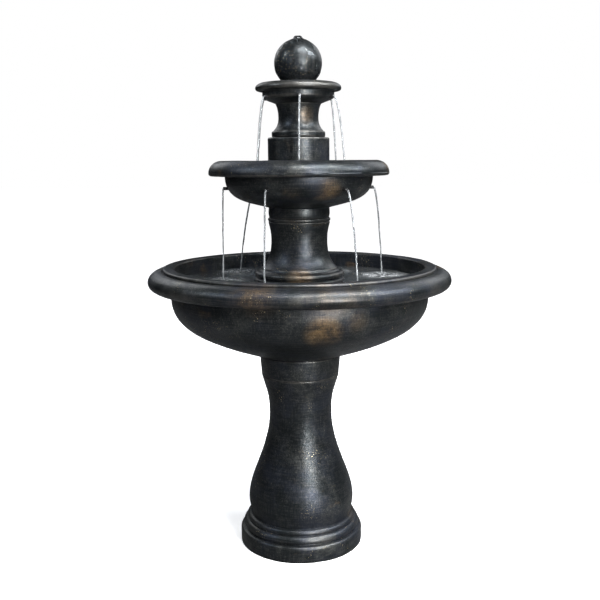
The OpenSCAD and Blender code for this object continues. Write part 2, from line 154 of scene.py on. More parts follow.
def pedestal_outline():
    p = PLINTH_R
    ring_z = 62
    neck_z = 76.5
    outer = [(p, 0)] + arc((p - 7, 33), (7, 8), 0, 90)
    outer += [(p - 12, 42.5)]
    outer += curve((p - 12, 44.5), (p - 5, 46), (p - 8, ring_z - 4), (p - 16, ring_z))
    outer += [(p - 19, ring_z + 0.5)]
    outer += curve((p - 19, ring_z + 2), (p - 15, ring_z + 4.5), (p - 18, neck_z - 1.5), (p - 25, neck_z))
    outer += [(p - 28, neck_z + 0.5)]
    outer += curve((BELLY_R - 5.3, neck_z + 2), (BELLY_R - 3.5, 94), (BELLY_R, 104), (BELLY_R, BELLY_Z))
    outer += curve((BELLY_R, BELLY_Z), (BELLY_R, 176), (WAIST_R, 254), (WAIST_R, WAIST_Z), 40)[1:]
    outer += curve((WAIST_R, WAIST_Z), (WAIST_R, WAIST_Z + 51), (HEAD_R - 14, WAIST_Z + 51),
                   (HEAD_R, PEDESTAL_H - 3), 24)[1:]
    outer += [(HEAD_R, PEDESTAL_H)]
    inner = [(77.6, PEDESTAL_H), (77.6, PEDESTAL_H - 25)]
    inner += curve((74, PEDESTAL_H - 27), (WAIST_R - WALL + 2, 400), (WAIST_R - WALL, 380),
                   (WAIST_R - WALL, WAIST_Z), 8)
    inner += curve((WAIST_R - WALL, WAIST_Z), (WAIST_R - WALL, 254), (BELLY_R - WALL, 176),
                   (BELLY_R - WALL, BELLY_Z), 12)[1:]
    inner += [(BELLY_R - WALL, 62), (p - 16, 38), (p - 16, 0)]
    return outer + inner


def basin_inside(steps=24):
    """The basin's inner wall, from the rim down to the floor."""
    return curve((BASIN_R - 14, PEDESTAL_H + 205), (BASIN_R - 14, PEDESTAL_H + 138),
                 (BOSS_R + 137, PEDESTAL_H + 117), (BOSS_R + 11, FLOOR_Z), steps)


def basin_outline():
    foot = PEDESTAL_H
    nose_z = RIM_Z - 8
    roll_under_z = RIM_Z - RIM_ROLL - 2.5
    lip_z = RIM_Z + RIM_ROLL
    groove_r = RIM_R - 9
    outer = [(0, FLOOR_Z - 20), (64, FLOOR_Z - 20), (64, foot - 20), (77, foot - 20), (77, foot),
             (BOSS_R - 4, foot), (BOSS_R, foot + 50), (BOSS_R - 1.5, foot + 51.5)]
    outer += curve((BOSS_R + 1, foot + 53), (BOSS_R + 145, foot + 102), (BASIN_R, foot + 129),
                   (BASIN_R, foot + 205), 44)
    outer += arc((BASIN_R + 5, roll_under_z - 5), (5, 5), 180, 90, 4)
    outer += arc((RIM_R + 2, nose_z), (RIM_ROLL - 2, nose_z - roll_under_z), -90, 0, 14)
    outer += arc((groove_r, nose_z), (RIM_ROLL + 9, RIM_ROLL + 1), 4, 88, 26)
    inner = [(groove_r - 0.5, lip_z - 9), (groove_r - 3.5, lip_z - 9)]
    inner += arc((groove_r - 7.5, lip_z - 4.5), (5, 4.5), -60, 90, 9)
    inner += arc((groove_r - 27, lip_z - 5), (5, 5), 90, 180, 6)
    inner += [(BASIN_R - 12.5, lip_z - 33)]
    return outer + inner + basin_inside() + [(0, FLOOR_Z)]


def middle_pedestal_outline():
    ring_z = FLOOR_Z + 187
    flare_z = FLOOR_Z + 202
    waist_z = FLOOR_Z + 272
    bead_z = BOWL_FOOT - 5
    outer = [(SKIRT_R, FLOOR_Z), (SKIRT_R, ring_z - 20), (MID_RING_R - 5, ring_z - 19)]
    outer += arc((MID_RING_R - 5, ring_z - 14), (5, 4.5), -80, 80, 8)
    outer += [(MID_RING_R - 6, ring_z - 8.5)]
    outer += arc((MID_RING_R - 8, ring_z), (8, 7.5), -75, 75, 12)
    outer += [(MID_RING_R - 12, ring_z + 8.5), (MID_RING_R - 16, ring_z + 12)]
    outer += curve((MID_RING_R - 17, flare_z), (MID_WAIST_R + 5.4, flare_z + 18), (MID_WAIST_R, waist_z - 31),
                   (MID_WAIST_R, waist_z), 24)
    outer += curve((MID_WAIST_R, waist_z), (MID_WAIST_R, waist_z + 20), (MID_WAIST_R + 4.6, waist_z + 32),
                   (MID_WAIST_R + 6.8, bead_z - 6), 12)[1:]
    outer += arc((MID_WAIST_R + 3, bead_z), (5, 4.8), -70, 70, 8)
    outer += [(MID_WAIST_R + 4, BOWL_FOOT)]
    inner = [(62.5, BOWL_FOOT), (62.5, BOWL_FOOT - 16)]
    inner += curve((MID_WAIST_R - WALL + 1, BOWL_FOOT - 18), (MID_WAIST_R - WALL, waist_z - 10),
                   (MID_WAIST_R - WALL, flare_z + 30), (SKIRT_R - WALL - 4, flare_z + 2), 10)
    inner += [(SKIRT_R - WALL, ring_z - 6), (SKIRT_R - WALL, FLOOR_Z)]
    return outer + inner


def bowl_inside(steps=16):
    """The middle bowl's inner wall, from the rim down to the floor."""
    return curve((BOWL_R - 11, BOWL_FOOT + 110), (BOWL_R - 13, BOWL_FOOT + 60), (125, BOWL_FOOT + 54),
                 (88, BOWL_FLOOR), steps)


def middle_bowl_outline():
    foot = BOWL_FOOT
    outer = [(10.5, foot + 25), (50, foot + 25), (50, foot - 15), (61.9, foot - 15), (61.9, foot),
             (74.4, foot)]
    outer += curve((74.8, foot + 2), (76.8, foot + 8), (76.2, foot + 18), (75.2, foot + 23), 8)
    outer += [(76, foot + 24.5)]
    outer += curve((77.5, foot + 25), (122, foot + 37), (BOWL_R, foot + 41.6), (BOWL_R, foot + 101), 32)
    outer += [(BOWL_R + 1, foot + 102)]
    outer += arc((BOWL_RIM_R - 6.5, foot + 108.5), (6.5, 6.5), -90, 0, 6)
    outer += arc((BOWL_RIM_R - 32.5, BOWL_RIM_Z - 30.5), (32.5, 30.5), 0, 90, 18)
    inner = arc((BOWL_R - 2.5, BOWL_RIM_Z - 6), (6, 6), 90, 180, 5)
    return outer + inner + bowl_inside() + [(10.5, BOWL_FLOOR)]


def collar_outline():
    return ([(62, BOWL_FLOOR), (COLLAR_R + 0.5, BOWL_FLOOR)]
            + arc((COLLAR_R - 4, COLLAR_TOP - 4), (4, 4), 0, 90, 5) + [(62, COLLAR_TOP)])


def neck_outline():
    flange = high("upper_neck", 0)
    top = COLLAR_TOP
    outer = [(50, top - 12), (61.95, top - 12), (61.95, top), (flange - 2.5, top), (flange, top + 3)]
    outer += arc((flange - 3, top + 11), (3, 4), 0, 80, 5)
    outer += [(flange - 4, top + 15)]
    outer += curve((flange - 4, top + 16), (NECK_R + 7, top + 22), (NECK_R, top + 29), (NECK_R, top + 48))
    outer += curve((NECK_R, top + 48), (NECK_R, top + 59), (NECK_R + 2, DISH_FOOT - 8),
                   (NECK_R + 6.5, DISH_FOOT))[1:]
    return outer + [(38, DISH_FOOT), (38, top + 10), (50, top - 2)]


def dish_inside(steps=10):
    """The top dish's inner wall, from the rim down to the floor."""
    return curve((DISH_R - 11, DISH_FOOT + 40), (DISH_R - 11, DISH_FOOT + 17), (66, DISH_FOOT + 12),
                 (56, DISH_FLOOR), steps)


def dish_outline():
    foot = DISH_FOOT
    rim = DISH_RIM_R
    outer = [(10.5, foot - 3), (28, foot - 3), (28, foot - 12), (37.95, foot - 12), (37.95, foot),
             (NECK_R + 6.5, foot)]
    outer += curve((NECK_R + 6.8, foot + 0.5), (NECK_R + 19, foot + 7), (DISH_R - 1, foot + 10),
                   (DISH_R, foot + 17), 14)
    outer += [(DISH_R, foot + 26)]
    outer += arc((DISH_R + 4, foot + 27), (4, 4), 180, 90, 4)
    outer += arc((rim - 6.5, foot + 37.5), (6.5, 6.5), -90, 20, 8)
    outer += curve((rim - 1.2, foot + 42), (rim - 5, foot + 47), (rim - 12, DISH_RIM_Z),
                   (rim - 18, DISH_RIM_Z), 8)
    inner = arc((DISH_R - 5.5, DISH_RIM_Z - 5), (5, 5), 90, 180, 5)
    return outer + inner + dish_inside() + [(10.5, DISH_FLOOR)]


def ball_outline():
    foot_r = 32.0
    recess_r = 12.0
    top = BALL_Z + BALL_R - 7
    sunk = math.degrees(math.asin(foot_r / BALL_R))
    open_top = math.degrees(math.asin(recess_r / BALL_R))
    neck_z = BALL_Z - BALL_R * math.cos(math.radians(sunk)) - 2
    return ([(24, DISH_FLOOR), (foot_r, DISH_FLOOR), (foot_r, neck_z)]
            + arc((0, BALL_Z), (BALL_R, BALL_R), sunk - 90, 90 - open_top, 56)
            + [(recess_r, top), (8, top), (8, DISH_FLOOR + 14), (24, DISH_FLOOR + 14)])


# ---------------------------------------------------------------- lathe meshes

SHARP_TURN = math.radians(28)
EDGE_RADIUS_MM = 1.8


def turn_at(before, here, after):
    """Angle in radians that an outline turns by at a point; positive turns left, which is outwards."""
    a = math.atan2(here[1] - before[1], here[0] - before[0])
    b = math.atan2(after[1] - here[1], after[0] - here[0])
    return (b - a + math.pi) % (2 * math.pi) - math.pi


def soften(outline, on_axis):
    """Rounds each sharp corner, as a cast edge is."""
    count = len(outline)
    softened = []
    for i, here in enumerate(outline):
        before = outline[i - 1]
        after = outline[(i + 1) % count]
        if (on_axis and i in (0, count - 1)) or abs(turn_at(before, here, after)) < SHARP_TURN:
            softened.append(here)
            continue
        reach = min(EDGE_RADIUS_MM, 0.4 * math.dist(before, here), 0.4 * math.dist(here, after))
        start = Vector(here).lerp(Vector(before), reach / math.dist(before, here))
        end = Vector(here).lerp(Vector(after), reach / math.dist(here, after))
        for t in (0.0, 0.33, 0.67, 1.0):
            point = start * (1 - t) ** 2 + Vector(here) * 2 * t * (1 - t) + end * t ** 2
            softened.append(tuple(point))
    return softened


def divide(outline, step, on_axis):
    """Adds points so that no part of the outline is longer than step."""
    count = len(outline)
    points = []
    for i in range(count - 1 if on_axis else count):
        a = Vector(outline[i])
        b = Vector(outline[(i + 1) % count])
        parts = max(1, math.ceil((b - a).length / step))
        points += [tuple(a.lerp(b, k / parts)) for k in range(parts)]
    if on_axis:
        points.append(outline[-1])
    return points


def new_object(name, vertices, faces, material):
    mesh = bpy.data.meshes.new(name)
    mesh.from_pydata(vertices, [], faces)
    mesh.materials.append(material)
    mesh.update()
    mesh.polygons.foreach_set("use_smooth", [True] * len(mesh.polygons))
    thing = bpy.data.objects.new(name, mesh)
    bpy.context.scene.collection.objects.link(thing)
    return thing


def cast_surface(place, around, along):
    """How far a cast surface stands proud of its true shape at a place, in metres."""
    swell = noise.noise(place * 14) * 0.00055
    dents = noise.noise(place * 48 + Vector((7, 3, 1))) * 0.00022
    turning = noise.noise(Vector((around.x * 1.6, around.y * 1.6, along * 150))) * 0.00014
    return swell + dents + turning


def lathe(name, outline, material, proud=1.0, step=None):
    """A closed turned mesh that carries how convex its edges are, and where each point lies."""
    on_axis = outline[0][0] < 0.01 and outline[-1][0] < 0.01
    rows = divide(soften(outline, on_axis), step or STEP_MM, on_axis)
    count = len(rows)
    vertices = []
    edges = []
    turned = []
    along = 0.0
    for i, (r, z) in enumerate(rows):
        before = rows[i - 1] if i or not on_axis else (r - 1, z)
        after = rows[(i + 1) % count] if i < count - 1 or not on_axis else (r - 1, z)
        span = (math.dist(before, (r, z)) + math.dist((r, z), after)) / 2
        bend = turn_at(before, (r, z), after) / max(span, 0.3)
        slope = Vector((after[1] - before[1], before[0] - after[0])).normalized()
        along += math.dist(before, (r, z)) * MM if i else 0.0
        if on_axis and i in (0, count - 1):
            vertices.append(Vector((0, 0, z * MM)))
            edges.append(0.0)
            turned.append((0.0, 0.0, along))
            continue
        for k in range(SEGMENTS):
            angle = 2 * math.pi * k / SEGMENTS
            around = Vector((math.cos(angle), math.sin(angle), 0))
            place = Vector((around.x * r * MM, around.y * r * MM, z * MM))
            out = Vector((around.x * slope.x, around.y * slope.x, slope.y))
            vertices.append(place + out * (cast_surface(place, around, along) * proud))
            edges.append(bend)
            turned.append((around.x, around.y, along))
    faces = lathe_faces(count, on_axis)
    thing = new_object(name, vertices, faces, material)
    layer = thing.data.attributes.new("edge", "FLOAT", "POINT")
    layer.data.foreach_set("value", edges)
    layer = thing.data.attributes.new("turned", "FLOAT_VECTOR", "POINT")
    layer.data.foreach_set("vector", [x for triple in turned for x in triple])
    return thing


def lathe_faces(count, on_axis):
    """Quads between neighbouring rows, and fans where the outline meets the axis."""
    faces = []
    if not on_axis:
        for i in range(count):
            a = i * SEGMENTS
            b = (i + 1) % count * SEGMENTS
            faces += [(a + k, a + (k + 1) % SEGMENTS, b + (k + 1) % SEGMENTS, b + k) for k in range(SEGMENTS)]
        return faces
    last = 1 + (count - 2) * SEGMENTS
    for i in range(count - 3):
        a = 1 + i * SEGMENTS
        b = a + SEGMENTS
        faces += [(a + k, a + (k + 1) % SEGMENTS, b + (k + 1) % SEGMENTS, b + k) for k in range(SEGMENTS)]
    faces += [(0, 1 + (k + 1) % SEGMENTS, 1 + k) for k in range(SEGMENTS)]
    top = last - SEGMENTS
    faces += [(last, top + k, top + (k + 1) % SEGMENTS) for k in range(SEGMENTS)]
    return faces


def cut(thing, cutters, operation="DIFFERENCE"):
    """Cuts shapes out of a piece, or joins them to it, and removes the shapes."""
    for cutter in cutters:
        modifier = thing.modifiers.new("cut", "BOOLEAN")
        modifier.object = cutter
        modifier.operation = operation
        modifier.solver = "EXACT"
        bpy.context.view_layer.objects.active = thing
        bpy.ops.object.modifier_apply(modifier=modifier.name)
        bpy.data.objects.remove(cutter)


def cylinder(radius, depth, place, rotation=(0, 0, 0)):
    bpy.ops.mesh.primitive_cylinder_add(vertices=48, radius=radius * MM, depth=depth * MM,
                                        location=Vector(place) * MM, rotation=rotation)
    return bpy.context.object


def block(size, place):
    bpy.ops.mesh.primitive_cube_add(size=1, location=Vector(place) * MM)
    thing = bpy.context.object
    thing.scale = Vector(size) * MM
    bpy.ops.object.transform_apply(location=False, rotation=False, scale=True)
    return thing


# ---------------------------------------------------------------- materials

class Shader:
    """Short calls that add and join the nodes of one material."""

    def __init__(self, name):
        self.material = bpy.data.materials.new(name)
        self.material.use_nodes = True
        self.tree = self.material.node_tree
        self.surface = self.tree.nodes["Principled BSDF"]

    def join(self, value, socket):
        if isinstance(value, bpy.types.NodeSocket):
            self.tree.links.new(value, socket)
        elif value is not None:
            socket.default_value = value

    def place(self):
        return self.tree.nodes.new("ShaderNodeTexCoord").outputs["Object"]

    def attribute(self, name, output):
        node = self.tree.nodes.new("ShaderNodeAttribute")
        node.attribute_name = name
        return node.outputs[output]

    def stretch(self, vector, scale, offset=(0, 0, 0)):
        node = self.tree.nodes.new("ShaderNodeMapping")
        self.join(vector, node.inputs["Vector"])
        node.inputs["Scale"].default_value = scale
        node.inputs["Location"].default_value = offset
        return node.outputs["Vector"]

    def noise(self, vector, scale, detail=4.0, roughness=0.55, distortion=0.0):
        node = self.tree.nodes.new("ShaderNodeTexNoise")
        self.join(vector, node.inputs["Vector"])
        node.inputs["Scale"].default_value = scale
        node.inputs["Detail"].default_value = detail
        node.inputs["Roughness"].default_value = roughness
        node.inputs["Distortion"].default_value = distortion
        return node.outputs["Fac"]

    def cells(self, vector, scale, feature="F1"):
        node = self.tree.nodes.new("ShaderNodeTexVoronoi")
        node.feature = feature
        self.join(vector, node.inputs["Vector"])
        node.inputs["Scale"].default_value = scale
        return node.outputs["Distance"]

    def range(self, value, low_in, high_in, low_out=0.0, high_out=1.0):
        node = self.tree.nodes.new("ShaderNodeMapRange")
        node.interpolation_type = "SMOOTHSTEP"
        self.join(value, node.inputs["Value"])
        node.inputs["From Min"].default_value = low_in
        node.inputs["From Max"].default_value = high_in
        node.inputs["To Min"].default_value = low_out
        node.inputs["To Max"].default_value = high_out
        return node.outputs["Result"]

    def math(self, operation, a, b=None):
        node = self.tree.nodes.new("ShaderNodeMath")
        node.operation = operation
        node.use_clamp = operation in ("ADD", "SUBTRACT", "MULTIPLY")
        self.join(a, node.inputs[0])
        self.join(b, node.inputs[1])
        return node.outputs["Value"]

    def mix(self, factor, a, b):
        node = self.tree.nodes.new("ShaderNodeMix")
        node.data_type = "RGBA"
        self.join(factor, node.inputs["Factor"])
        self.join(a, node.inputs["A"])
        self.join(b, node.inputs["B"])
        return node.outputs["Result"]

    def bump(self, height, distance, strength=1.0, under=None):
        node = self.tree.nodes.new("ShaderNodeBump")
        node.inputs["Strength"].default_value = strength
        node.inputs["Distance"].default_value = distance
        self.join(height, node.inputs["Height"])
        self.join(under, node.inputs["Normal"])
        return node.outputs["Normal"]

    def set(self, **sockets):
        for name, value in sockets.items():
            self.join(value, self.surface.inputs[name.replace("_", " ").title().replace("Ior", "IOR")])


# Places where the gold shows through most, as [centre in metres, reach in metres, strength]
GOLD_PATCHES = [((0.052, -0.305, 0.607), 0.055, 1.0), ((0.126, -0.292, 0.632), 0.036, 0.16),
                ((-0.016, -0.187, 0.894), 0.040, 0.6), ((0.070, -0.165, 0.905), 0.045, 0.6),
                ((0.0, -0.115, 0.705), 0.045, 0.6), ((-0.10, -0.345, 0.690), 0.07, 0.5),
                ((0.07, -0.345, 0.695), 0.09, 0.18), ((0.02, -0.048, 1.09), 0.03, 0.22)]


def gold_places(s, place):
    """How near a place is to one of the gold patches, from 0 to 1."""
    near = None
    for centre, reach, strength in GOLD_PATCHES:
        away = s.tree.nodes.new("ShaderNodeVectorMath")
        away.operation = "DISTANCE"
        s.join(place, away.inputs[0])
        away.inputs[1].default_value = centre
        mask = s.range(away.outputs["Value"], reach, reach * 0.15, 0.0, strength)
        near = mask if near is None else s.math("MAXIMUM", near, mask)
    return near


def bronze_patina():
    """Near-black bronze paint on cast stone: indigo and grey-green bloom, a brushed weave, rubbed gold."""
    s = Shader("bronze_patina")
    place = s.place()
    turned = s.attribute("turned", "Vector")
    edge = s.attribute("edge", "Fac")
    level = s.noise(s.stretch(turned, (3.4, 3.4, 330)), 1.0, 5.0, 0.66, 0.5)
    upright = s.noise(s.stretch(place, (300, 300, 24)), 1.0, 5.0, 0.66, 0.6)
    fine = s.noise(s.stretch(turned, (14, 14, 900)), 1.0, 3.0, 0.6)
    clouds = s.noise(place, 9.0, 5.0, 0.6, 0.4)
    blooms = s.noise(s.stretch(place, (1, 1, 0.8), (1.9, 4.1, 2.3)), 14.0, 5.0, 0.62, 0.5)
    patches = s.noise(s.stretch(place, (1, 1, 1.6), (3.1, 1.7, 0.4)), 8.0, 4.0, 0.62, 0.6)
    specks = s.noise(place, 330.0, 3.0, 0.65)
    pits = s.noise(place, 150.0, 4.0, 0.7)
    # Ground: black with a cool tint, indigo clouds, and a grey-green bloom
    ground = s.mix(s.range(clouds, 0.42, 0.64), (0.017, 0.021, 0.023, 1), (0.026, 0.031, 0.042, 1))
    bloom = s.math("MULTIPLY", s.range(blooms, 0.46, 0.70), s.range(pits, 0.34, 0.62, 0.35, 1.0))
    height_up = s.tree.nodes.new("ShaderNodeSeparateXYZ")
    s.join(place, height_up.inputs[0])
    dusty = s.range(height_up.outputs["Z"], 0.075, 0.03, 0.5, 0.95)
    ground = s.mix(s.math("MULTIPLY", bloom, dusty), ground, (0.088, 0.093, 0.088, 1))
    # Lighter paint left by the brush: a weave of level and upright strokes
    weave = s.math("ADD", s.math("MULTIPLY", level, 0.55), s.math("MULTIPLY", upright, 0.45))
    brushed = s.range(weave, 0.46, 0.64)
    ground = s.mix(s.math("MULTIPLY", brushed, 0.42), ground, (0.105, 0.103, 0.103, 1))
    # Gold rubbed through: by noise, at the places above, and on convex edges
    gold = s.math("MULTIPLY", s.range(patches, 0.62, 0.76), 0.35)
    here = s.math("MULTIPLY", gold_places(s, place), s.range(blooms, 0.34, 0.60, 0.15, 1.0))
    gold = s.math("MULTIPLY", s.math("MAXIMUM", gold, here), s.range(weave, 0.38, 0.58, 0.3, 1.0))
    colour = s.mix(gold, ground, (0.34, 0.215, 0.10, 1))
    grit = s.math("MULTIPLY", s.range(specks, 0.54, 0.70), s.range(blooms, 0.36, 0.62, 0.05, 0.42))
    colour = s.mix(grit, colour, (0.23, 0.22, 0.195, 1))
    rolled_edge_with_painted_shade = s.math("MULTIPLY", s.range(edge, 0.028, 0.07), s.range(blooms, 0.40, 0.66, 0.0, 0.38))
    # Less of this edge paint low down: painted shade for the basin's shadow falling over the plinth's rings
    rolled_edge_with_painted_shade = s.math("MULTIPLY", rolled_edge_with_painted_shade, s.range(height_up.outputs["Z"], 0.10, 0.40, 0.3, 1.0))
    colour = s.mix(rolled_edge_with_painted_shade, colour, (0.155, 0.143, 0.125, 1))
    # Pale paint on sharp convex edges, broken into patches: partly rubbed wear, partly a painted highlight
    # for the thin bright lines such edges catch
    lip_patches = s.range(s.noise(place, 30.0, 4.0, 0.65), 0.3, 0.55, 0.35, 1.0)
    lip_wear_and_highlight = s.math("MULTIPLY", s.range(edge, 0.14, 0.45), lip_patches)
    colour = s.mix(s.math("MULTIPLY", lip_wear_and_highlight, 0.22), colour, (0.32, 0.31, 0.28, 1))
    large_chips = s.range(s.cells(place, 95.0), 0.13, 0.05)
    small_chips = s.range(s.cells(place, 230.0), 0.20, 0.08)
    chips = s.math("MAXIMUM", large_chips, small_chips)
    chip_where = s.math("MAXIMUM", s.range(s.noise(place, 13.0, 2.0), 0.58, 0.66),
                        s.math("MULTIPLY", here, 0.8))
    colour = s.mix(s.math("MULTIPLY", chips, chip_where), colour, (0.70, 0.58, 0.36, 1))
    roughness = s.range(s.math("ADD", s.math("MULTIPLY", clouds, 0.5), s.math("MULTIPLY", pits, 0.5)),
                        0.36, 0.64, 0.30, 0.46)
    height = s.math("ADD", s.math("MULTIPLY", weave, 0.35), s.math("MULTIPLY", fine, 0.15))
    height = s.math("ADD", height, s.math("MULTIPLY", pits, 0.4))
    height = s.math("ADD", height, s.math("MULTIPLY", specks, 0.2))
    s.set(base_color=colour, roughness=roughness, metallic=0.75, normal=s.bump(height, 0.0014, 0.6))
    return s.material


def plastic(name, colour, roughness):
    s = Shader(name)
    place = s.place()
    grain = s.noise(place, 900.0, 2.0)
    tint = s.mix(s.noise(place, 30.0, 3.0), colour, tuple(c * 1.5 for c in colour[:3]) + (1,))
    s.set(base_color=tint, roughness=s.range(grain, 0.3, 0.7, roughness - 0.06, roughness + 0.08),
          normal=s.bump(grain, 0.0002, 0.4))
    return s.material


def rubber():
    s = Shader("soft_rubber")
    place = s.place()
    dust = s.noise(place, 60.0, 5.0, 0.65)
    s.set(base_color=s.mix(s.range(dust, 0.5, 0.75), (0.012, 0.012, 0.012, 1), (0.05, 0.048, 0.045, 1)),
          roughness=s.range(dust, 0.3, 0.7, 0.62, 0.82), normal=s.bump(s.noise(place, 700.0), 0.0002, 0.5))
    return s.material


def vinyl():
    s = Shader("clear_vinyl")
    place = s.place()
    haze = s.noise(place, 45.0, 3.0)
    s.set(base_color=s.mix(haze, (0.78, 0.84, 0.82, 1), (0.9, 0.93, 0.92, 1)),
          roughness=s.range(haze, 0.3, 0.7, 0.12, 0.28), transmission_weight=0.75, ior=1.5,
          normal=s.bump(haze, 0.0005, 0.3))
    return s.material


def steel():
    s = Shader("stainless_steel")
    place = s.place()
    lines = s.noise(s.stretch(place, (60, 60, 1600)), 1.0, 3.0)
    s.set(base_color=s.mix(lines, (0.5, 0.5, 0.51, 1), (0.68, 0.68, 0.7, 1)), metallic=1.0,
          roughness=s.range(lines, 0.3, 0.7, 0.22, 0.38), normal=s.bump(lines, 0.0001, 0.4))
    return s.material


def ceramic():
    s = Shader("white_ceramic")
    place = s.place()
    body = s.noise(place, 300.0, 2.0)
    s.set(base_color=s.mix(body, (0.85, 0.82, 0.75, 1), (0.92, 0.9, 0.85, 1)),
          roughness=s.range(body, 0.3, 0.7, 0.12, 0.2), coat_weight=0.5)
    return s.material


def water(name, whiteness=0.0, dark=(0.84, 0.91, 0.95, 1), pale=(1, 1, 1, 1)):
    """Clear water. Whiteness is the share of its light that air bubbles scatter back."""
    s = Shader(name)
    place = s.place()
    fine = s.noise(place, 160.0, 3.0, 0.5, 0.5)
    threads = s.noise(s.stretch(place, (1, 1, 0.25)), 240.0, 2.0)
    s.set(base_color=s.mix(threads, dark, pale), roughness=0.03, ior=1.33,
          transmission_weight=s.range(threads, 0.35, 0.7, 1.0 - whiteness * 0.4, 1.0 - whiteness)
          if whiteness else 1.0,
          normal=s.bump(fine, 0.0006, 0.6))
    return s.material


def pool_water():
    """Clear rippled water, clouded by bubbles in drifting patches round the places where streams land."""
    s = Shader("pool_water")
    place = s.place()
    chop = s.noise(place, 60.0, 4.0, 0.6, 0.8)
    drift = s.noise(s.stretch(place, (1, 1, 0.3)), 24.0, 5.0, 0.7, 1.2)
    cloud = s.math("MULTIPLY", s.range(s.attribute("froth", "Fac"), 0.02, 0.8), s.range(drift, 0.40, 0.60))
    haze = s.math("ADD", s.math("MULTIPLY", cloud, 0.4), 0.05)
    s.set(base_color=s.mix(cloud, (0.62, 0.66, 0.68, 1), (0.74, 0.76, 0.77, 1)), ior=1.33,
          roughness=s.range(cloud, 0.0, 1.0, 0.04, 0.25), transmission_weight=s.math("SUBTRACT", 1.0, haze),
          normal=s.bump(chop, 0.004, 0.7))
    return s.material


# ---------------------------------------------------------------- castings

def add_castings():
    patina = bronze_patina()
    pedestal = lathe("base_pedestal_cast", pedestal_outline(), patina)
    notch = [block((22, 60, 10), (0, PLINTH_R, 4)), cylinder(11, 60, (0, PLINTH_R, 9), (math.pi / 2, 0, 0))]
    cut(pedestal, notch)
    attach(pedestal, "base")
    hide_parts("base_pedestal")

    basin = lathe("basin_cast", basin_outline(), patina)
    drain_y = (low("drain_plug", 1) + high("drain_plug", 1)) / 2
    seat_z = FLOOR_Z + 25
    cut(basin, [cylinder(22, seat_z - FLOOR_Z - 4, (0, drain_y, (seat_z + FLOOR_Z + 4) / 2))], "UNION")
    cut(basin, [cylinder(21, 30, (0, drain_y, seat_z + 15)), cylinder(14, 100, (0, drain_y, FLOOR_Z + 10)),
                cylinder(11, 60, (0, 46, FLOOR_Z))])
    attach(basin, "basin")
    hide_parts("basin")

    middle = lathe("middle_pedestal_cast", middle_pedestal_outline(), patina)
    for way in ((0, 1), (1, 0)):
        across = Vector((34, 34, 27)) + Vector((way[0], way[1], 0)) * 226
        cut(middle, [block(across, (0, 0, FLOOR_Z + 12.5))])
    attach(middle, "middle_tier")
    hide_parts("middle_pedestal")

    for name, outline, body in (
            ("middle_bowl", middle_bowl_outline(), "middle_tier"),
            ("upper_collar", collar_outline(), "top_tier"),
            ("upper_neck", neck_outline(), "top_tier"),
            ("top_dish", dish_outline(), "top_tier"),
            ("ball_finial", ball_outline(), "finial")):
        piece = lathe(name + "_cast", outline, patina)
        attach(piece, body)
        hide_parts(name)


add_castings()


# ---------------------------------------------------------------- fittings that keep their CAD meshes

def dress_fittings():
    black = plastic("black_plastic", (0.012, 0.012, 0.013, 1), 0.42)
    grey = plastic("magnet_plastic", (0.18, 0.18, 0.2, 1), 0.38)
    finishes = {
        black: ["pump_housing", "impeller_cover", "intake_strainer", "flow_dial", "middle_bulkhead",
                "middle_nut", "top_riser", "top_nut", "middle_spouts", "top_spouts", "finial_outlet"],
        grey: ["impeller"],
        rubber(): ["cord_grommet", "drain_plug", "cover_seal", "shaft_bushes", "suction_cups",
                   "pump_cable_gland", "middle_washer", "top_washer"],
        vinyl(): ["lower_supply_tube", "upper_supply_tube"],
        steel(): ["lower_hose_clamp", "upper_hose_clamp"],
        ceramic(): ["impeller_shaft"],
    }
    for material, names in finishes.items():
        for name in names:
            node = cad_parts[name]
            node.data.materials.clear()
            node.data.materials.append(material)


dress_fittings()


# ---------------------------------------------------------------- water

BOWL_SPOUT_TURN = -24.0
DISH_SPOUT_TURN = 2.0
SPOUT_TIP_BOWL = high("middle_spouts", 0)
SPOUT_TIP_DISH = high("top_spouts", 1)
# Where each stream lands, as [turn from the front in degrees, distance from the axis in millimetres]
BOWL_STREAMS = [(-23, 206), (33.5, 242), (111, 231), (157, 188), (-137, 236), (-86, 191)]
DISH_STREAMS = [(0, 119), (64, 127), (125, 118), (182, 119), (-118, 120), (-57, 122)]


def polar(turn, radius, z):
    """A place from its turn from the front, its distance from the axis and its height, all in millimetres."""
    a = math.radians(turn)
    return Vector((math.sin(a) * radius, -math.cos(a) * radius, z)) * MM


def ripple(place, landings):
    """Height of the water's surface above its level: rings round each stream, and a chop all over."""
    swell = noise.noise(place * 24) * 0.0016
    chop = noise.noise(place * 62) * 0.0012
    height = swell + chop + noise.noise(place * 130) * 0.0005
    ring_height, ring_reach, ring_gap = 0.0018, 0.035, 0.018
    for landing in landings:
        away = math.hypot(place.x - landing.x, place.y - landing.y)
        height += ring_height * math.exp(-away / ring_reach) * math.cos(away * 2 * math.pi / ring_gap)
    return height


def froth(place, landings):
    """How full of air bubbles the water's surface is at a place, from 0 to 1."""
    share = 0.0
    for landing in landings:
        away = math.hypot(place.x - landing.x, place.y - landing.y)
        share = max(share, math.exp(-(away / 0.06) ** 2))
    return share


def pool(name, inside, level, floor_z, body, landings):
    """A closed body of water that fills a bowl up to a level, a hair into the bowl's wall so no gap shows."""
    wall = []
    for a, b in zip(inside, inside[1:]):
        if a[1] > level >= b[1]:
            t = (a[1] - level) / (a[1] - b[1])
            wall.append((a[0] + (b[0] - a[0]) * t + 1.2, level))
        if b[1] < level:
            wall.append((b[0] + 0.8, b[1] - 0.8))
    edge_r = wall[0][0]
    rings = max(4, round(edge_r / (3.2)))
    top = [(edge_r * (1 - i / rings), level) for i in range(1, rings)]
    outline = [(0, floor_z - 0.8)] + wall[::-1] + top + [(0, level)]
    return turned_water(name, outline, body, landings, level)


